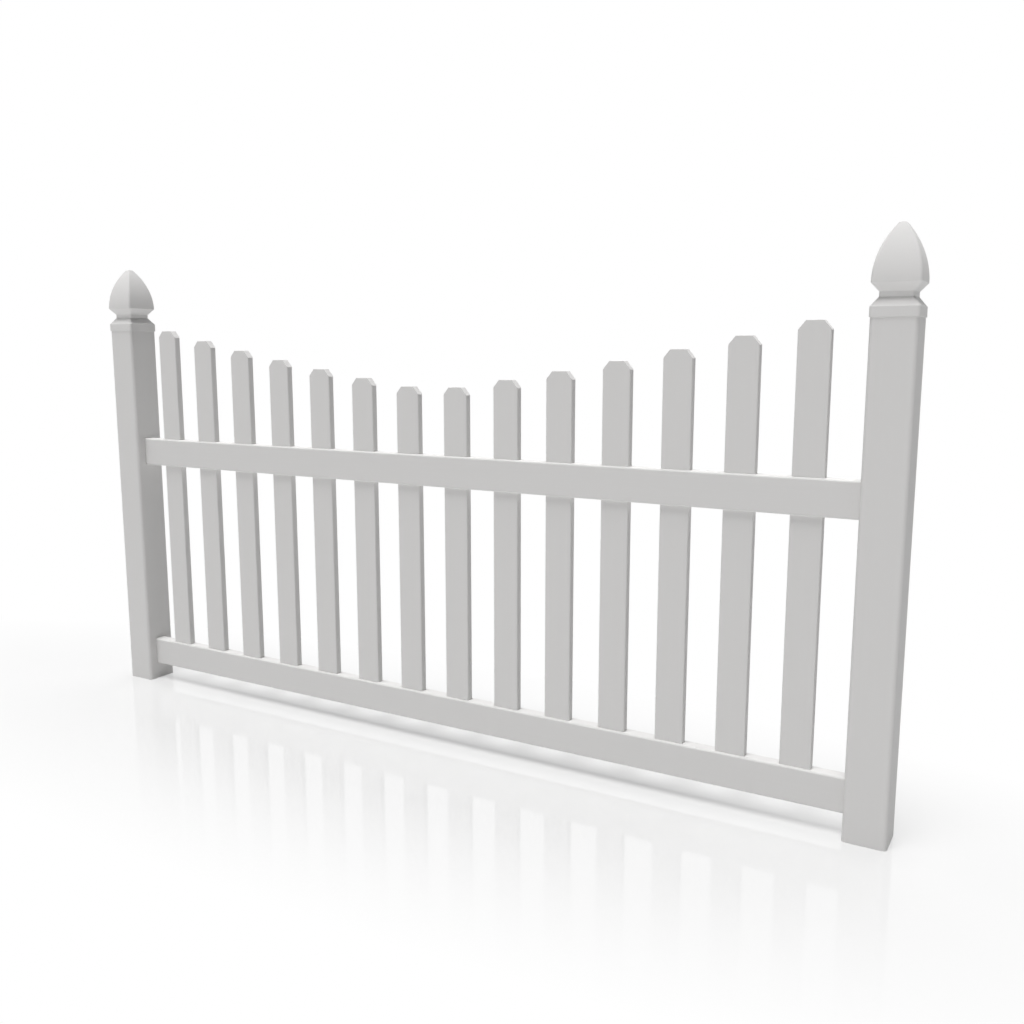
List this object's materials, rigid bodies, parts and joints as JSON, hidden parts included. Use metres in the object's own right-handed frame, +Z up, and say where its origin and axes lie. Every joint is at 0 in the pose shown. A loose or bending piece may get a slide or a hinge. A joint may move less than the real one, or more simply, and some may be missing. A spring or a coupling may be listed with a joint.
{
  "type": "picket fence panel",
  "caption": "Scalloped picket fence panel of white vinyl: hollow square posts with gothic caps, routed rails and dog-eared pickets that dip towards the middle.",
  "frame": {"origin": "centre of the left post's foot, at ground level, seen from the front", "axes": "+X along the panel from the left post to the right post, +Y from the front to the back, +Z up"},
  "size_m": [2.5436, 0.1052, 1.4],
  "materials": {
    "extruded_white_vinyl": "satin",
    "moulded_white_vinyl": "satin"
  },
  "bodies": {
    "root": {"left_post": "extruded_white_vinyl", "right_post": "extruded_white_vinyl", "bottom_rail": "extruded_white_vinyl", "top_rail": "extruded_white_vinyl", "picket_01": "extruded_white_vinyl", "picket_02": "extruded_white_vinyl", "picket_03": "extruded_white_vinyl", "picket_04": "extruded_white_vinyl", "picket_05": "extruded_white_vinyl", "picket_06": "extruded_white_vinyl", "picket_07": "extruded_white_vinyl", "picket_08": "extruded_white_vinyl", "picket_09": "extruded_white_vinyl", "picket_10": "extruded_white_vinyl", "picket_11": "extruded_white_vinyl", "picket_12": "extruded_white_vinyl", "picket_13": "extruded_white_vinyl", "picket_14": "extruded_white_vinyl", "left_post_cap": "moulded_white_vinyl", "right_post_cap": "moulded_white_vinyl"}
  },
  "joints": []
}
